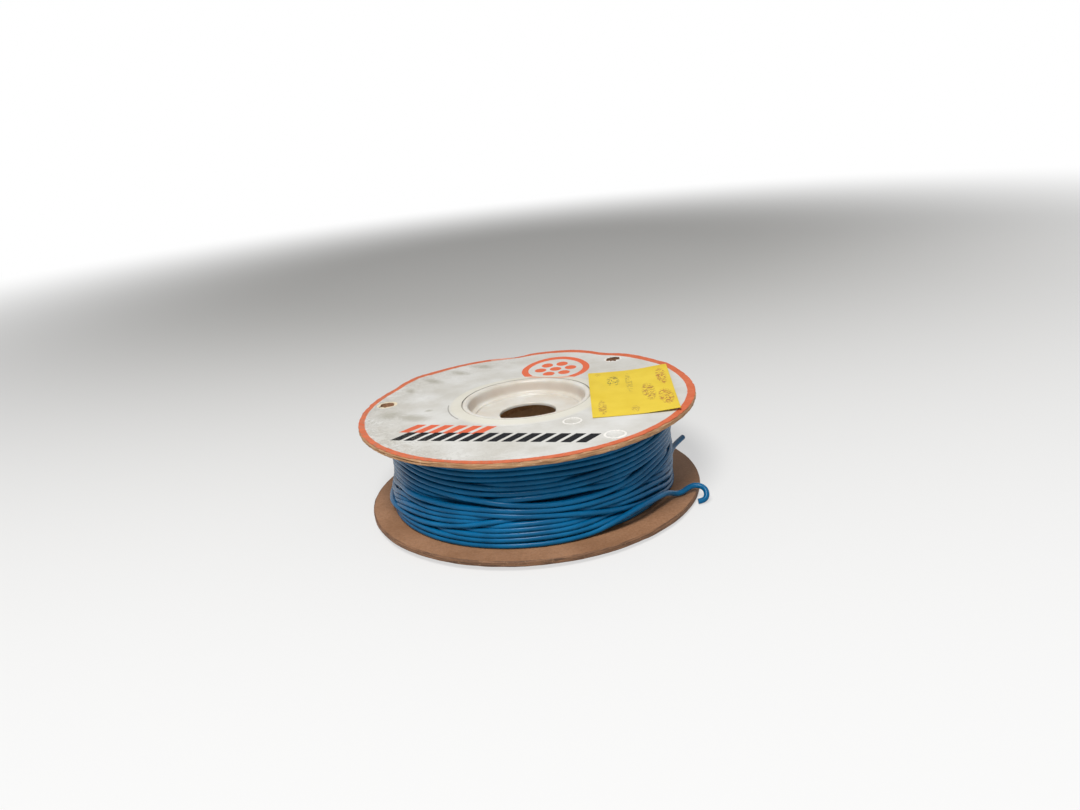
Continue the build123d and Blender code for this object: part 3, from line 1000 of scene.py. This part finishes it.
# Warp of the top board's rim: angle and lift, as the outline in the photograph shows it
rim_warp = (
    (-181, 0.2), (-20, 0.0), (0, 0.0), (13, 0.9), (22, 2.1), (29, 1.6), (38, 1.8), (46, 1.9), (56, 0.9),
    (62, 2.6), (70, 3.6), (81, 3.0), (86, 2.2), (92, 0.8), (98, 0.6), (103, 1.3), (110, 1.9), (120, 2.2),
    (130, 2.3), (137, 3.3), (143, 2.5), (151, 0.2), (181, 0.2),
)


def at_rim(radius):
    """0 on a board's face, rising to 1 at its edge."""
    return ease(radius, 145.5, 149.2)


def back_lift(radius, angle):
    """How far the top board's rim and its paper rise at the back."""
    return height_on(rim_warp, angle) * max(0.0, (radius - 96) / 54) ** 1.5


def broken_rim(angle):
    """How far the rim is broken off at the back."""
    return 1.8 * ease(angle, 89, 94) * (1 - ease(angle, 98, 104))


def chew_top_board(radius, angle, height):
    """Frays the sawn edge in layers, bites pieces out of it and opens a split at the front left."""
    layer = (height - top_board_z) / board_thickness
    share = at_rim(radius)
    fray = 0.55 * rough(angle, 6, 4 * layer) + 0.35 * rough(angle, 2.0, 9 * layer + 7)
    bite = 2.4 * max(0.0, rough(angle, 17, 31) - 0.28) + broken_rim(angle)
    split = 2.6 * ease(rough(angle, 24, 77), -0.2, 0.1) * max(0.0, 1 - abs(layer - 0.55) / 0.13)
    split *= ease(angle, -172, -160) * (1 - ease(angle, -128, -116))
    sag = 0.5 * rough(angle, 45, 91)
    bite += 1.3 * max(0.0, 1 - layer / 0.45) ** 2
    height += back_lift(radius, angle) + share * (sag + 0.3 * rough(angle, 8, 51 + layer))
    return radius + share * (fray - bite - split), angle, height


def bend_bottom_board(radius, angle, height):
    """Lifts the front left and lets the back right droop, as old board does, and dents the edge."""
    share = max(0.0, (radius - 62) / (board_radius - 62)) ** 2
    bend = 0.25 + 2.1 * math.cos(math.radians(angle + 140))
    edge = at_rim(radius)
    dent = 0.35 * rough(angle, 22, 15) + 0.2 * rough(angle, 4, 25 + height)
    dent -= 0.9 * max(0.0, rough(angle, 11, 61) - 0.4)
    return radius + edge * dent, angle, height + share * bend + edge * 0.15 * rough(angle, 14, 35)


top_board = turned("top_board", board_outline(top_board_z, top_face_z, True), board_steps)
reshape(top_board, chew_top_board)
tie_holes = [(angle, tie_hole_ring_radius) for angle in (*open_tie_hole_angles, papered_tie_hole_angle)]
cut_holes(top_board, tie_holes, tie_hole_radius, 0.15, 400)
cut_holes(top_board, [(start_hole_angle, start_hole_ring_radius)], start_hole_radius, 0.15, 430)
finish_piece(top_board, top_hardboard, "top_flange")

bottom_top_z = bottom_board_z + board_thickness
bottom_board = turned("bottom_board", board_outline(bottom_board_z, bottom_top_z, False), board_steps)
reshape(bottom_board, bend_bottom_board)
finish_piece(bottom_board, bottom_hardboard, "bottom_flange")


# Moulded hubs

bore_radius = 25.5
cup_floor_z = 77.6
cup_floor_thickness = 3.0
rim_top_z = 91.3
rim_radius = 58.0
lip_radius = 69.0
lip_under_z = top_face_z - lip_thickness + 0.05
spigot_radius = 55.5
spigot_wall = 2.5
spigot_end_z = 69.8
hub_steps = 160

# Section of the upper hub, as radius, height and rounding of each corner: the cup with its ledge, the rolled
# rim, the thin lip under the paper and the spigot in the tube
hub_outline = rounded((
    (bore_radius, cup_floor_z, 1.2),
    (47.2, cup_floor_z, 1.2),
    (47.9, 79.5, 0.8),
    (51.2, 79.6, 2.6),
    (53.2, rim_top_z, 3.2),
    (rim_radius, rim_top_z, 1.1),
    (rim_radius, top_face_z, 0),
    (lip_radius, top_face_z, 0),
    (lip_radius, lip_under_z, 0),
    (spigot_radius, lip_under_z, 0),
    (spigot_radius, spigot_end_z, 0.5),
    (spigot_radius - spigot_wall, spigot_end_z, 0.5),
    (spigot_radius - spigot_wall, cup_floor_z - cup_floor_thickness, 1.5),
    (bore_radius, cup_floor_z - cup_floor_thickness, 0.4),
))
top_hub = turned("top_hub_moulding", hub_outline, hub_steps)
finish_piece(top_hub, hub_plastic, "top_hub")
bottom_outline = [(radius, drum_height - height) for radius, height in hub_outline]
bottom_hub = turned("bottom_hub_moulding", bottom_outline, hub_steps)
finish_piece(bottom_hub, hub_plastic, "bottom_hub")

# Cardboard tube, which keeps its CAD shape
use_material(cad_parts["core_tube"], kraft_tube)


# Printed paper face

face_inner_radius = 58.3
face_outer_radius = 149.5
face_ring_step = 1.3
face_steps = 480
papered_holes = (
    (papered_tie_hole_angle, tie_hole_ring_radius, tie_hole_radius + 0.6, 0.9),
    (start_hole_angle, start_hole_ring_radius, start_hole_radius + 0.6, 0.6),
)


def lip_lift(radius):
    """How far the hub's lip lifts the paper on it."""
    return 0.4 * (1 - ease(radius, 67.5, 70.0)) + 0.7 * (1 - ease(radius, 58.0, 68.5))


def press_face(radius, angle, height):
    """Paper over what is under it: the lip's edge, the two papered holes, wrinkles and the frayed rim."""
    x, y = on_circle(radius, angle)
    lift = lip_lift(radius)
    lift -= 0.2 * ease(radius, 69.4, 70.4) * (1 - ease(radius, 70.8, 73.0))
    lift += back_lift(radius, angle)
    for hole_angle, ring_radius, hole_radius, depth in papered_holes:
        hole_x, hole_y = on_circle(ring_radius, hole_angle)
        off = math.hypot(x - hole_x, y - hole_y)
        lift -= depth * (1 - ease(off, hole_radius * 0.7, hole_radius))
        ridge = ease(off, hole_radius * 0.85, hole_radius) * (1 - ease(off, hole_radius, hole_radius + 1.8))
        lift += 0.75 * ridge
    wrinkled = 0.35 + 0.65 * ease(-x, -20, 120)
    crease = abs(noise.noise(Vector((x / 17, y / 30, 5.0)))) - 0.12
    lift += wrinkled * (0.35 * max(0.0, crease) + 0.12 * noise.noise(Vector((x / 9, y / 9, 9.0))))
    rim = at_rim(radius)
    lift += rim * (0.5 * rough(angle, 45, 91) + 0.25 * max(0.0, rough(angle, 7, 23)))
    tear = rim * (0.7 * rough(angle, 5, 29) - 1.6 * max(0.0, rough(angle, 16, 131) - 0.3))
    tear -= rim * (broken_rim(angle) + 2.2 * ease(angle, 87, 90) * (1 - ease(angle, 93, 97)))
    return radius + tear, angle, height + 0.12 + max(-1.0, lift)


face_width = face_outer_radius - face_inner_radius
ring_count = round(face_width / face_ring_step)
face_radii = [face_inner_radius + face_width * ring / ring_count for ring in range(ring_count + 1)]
face_outline = [(radius, top_face_z) for radius in face_radii]
face_outline += [(radius, top_face_z + face_thickness) for radius in reversed(face_radii)]
printed_face = turned("printed_face", face_outline, face_steps)
reshape(printed_face, press_face)
open_holes = [(angle, tie_hole_ring_radius - 1) for angle in open_tie_hole_angles]
cut_holes(printed_face, open_holes, tie_hole_radius + 0.2, 2.4, 500)
finish_piece(printed_face, label_paper, "face_label", 50)


# Stuck-on note

note_thickness = 0.25
note_curl = 3.4

deselect()
bpy.ops.mesh.primitive_grid_add(x_subdivisions=44, y_subdivisions=72, size=1)
note = bpy.context.active_object
note.name = "stuck_note"
for vertex in note.data.vertices:
    u, v = vertex.co.x * note_width, vertex.co.y * note_length
    curled = ease(u, -8, 44)
    lift = note_curl * curled ** 1.5 * (0.85 + 0.15 * math.sin(v / 24)) + 0.2 * ease(-u, 26, 38)
    lift += 0.3 * noise.noise(Vector((u / 22, v / 30, 2.0))) + 0.3
    lift += back_lift(board_radius, 55) * 0.35 * ease(v, 25, 64)
    x, y = note_middle + u - curled * (2.8 - 1.6 * v / 63.5), note_shift + v
    lift += lip_lift(math.hypot(x, y) - 2)
    vertex.co = Vector((
        x * math.cos(note_turn) - y * math.sin(note_turn),
        x * math.sin(note_turn) + y * math.cos(note_turn),
        top_face_z + face_thickness + 0.25 + lift,
    )) * MM
only(note)
sheet = note.modifiers.new("sheet", "SOLIDIFY")
sheet.thickness = note_thickness * MM
sheet.offset = 1
bpy.ops.object.modifier_apply(modifier=sheet.name)
finish_piece(note, yellow_paper, "sticky_note", 50)


# Floor, light and backdrop

def looked_at(tree):
    """1 for rays that show a thing, also in a gloss or through a clear piece, and 0 for its light."""
    ray = add(tree, "LightPath")
    seen = add(tree, "Math", {0: ray.outputs["Is Camera Ray"], 1: ray.outputs["Is Glossy Ray"]},
               operation="MAXIMUM")
    return add(tree, "Math", {0: seen, 1: ray.outputs["Is Transmission Ray"]}, operation="MAXIMUM")


deselect()
bpy.ops.mesh.primitive_plane_add(size=8, location=(0, 1.5, 0))
floor = bpy.context.active_object
floor.name = "floor"
floor_material, floor_tree, floor_shader, floor_place = new_material("plain_white_floor")
floor_shader.inputs["Base Color"].default_value = paint("#D2D1CE")
floor_shader.inputs["Roughness"].default_value = 0.7
floor_out = floor_tree.nodes["Material Output"]
from_drum = add(floor_tree, "VectorMath", {0: floor_place}, operation="LENGTH").outputs["Value"]
far_off = add(floor_tree, "MapRange", {"Value": from_drum, "From Min": 0.5, "From Max": 2.4},
              interpolation_type="SMOOTHSTEP")
floor_white = add(floor_tree, "Math", {0: looked_at(floor_tree), 1: far_off}, operation="MULTIPLY")
white_glow = add(floor_tree, "Emission", {"Color": (1, 1, 1, 1), "Strength": 1.0})
floor_mix = add(floor_tree, "MixShader", {0: floor_white, 1: floor_shader, 2: white_glow})
floor_tree.links.new(floor_mix.outputs[0], floor_out.inputs["Surface"])
floor.data.materials.append(floor_material)


def area_light(name, place, size, power):
    """Round soft lamp that shines on the drum."""
    lamp = bpy.data.lights.new(name, "AREA")
    lamp.shape = "DISK"
    lamp.size = size
    lamp.energy = power
    light = placed(name, lamp)
    light.location = place
    light.rotation_euler = (Vector(lamp_target) - Vector(place)).to_track_quat("-Z", "Y").to_euler()


area_light("key_light", key_place, key_size, key_power)
area_light("fill_light", fill_place, fill_size, fill_power)

# White room: plain soft light on the drum, and white wherever it is seen
world = bpy.data.worlds.new("studio")
bpy.context.scene.world = world
world.use_nodes = True
sky = world.node_tree
sky.nodes.clear()
light_room = add(sky, "Background", {"Color": (1, 1, 1, 1), "Strength": world_strength})
white_room = add(sky, "Background", {"Color": (1, 1, 1, 1), "Strength": 1.0})
both = add(sky, "MixShader", {0: looked_at(sky), 1: light_room, 2: white_room})
add(sky, "OutputWorld", {"Surface": both})
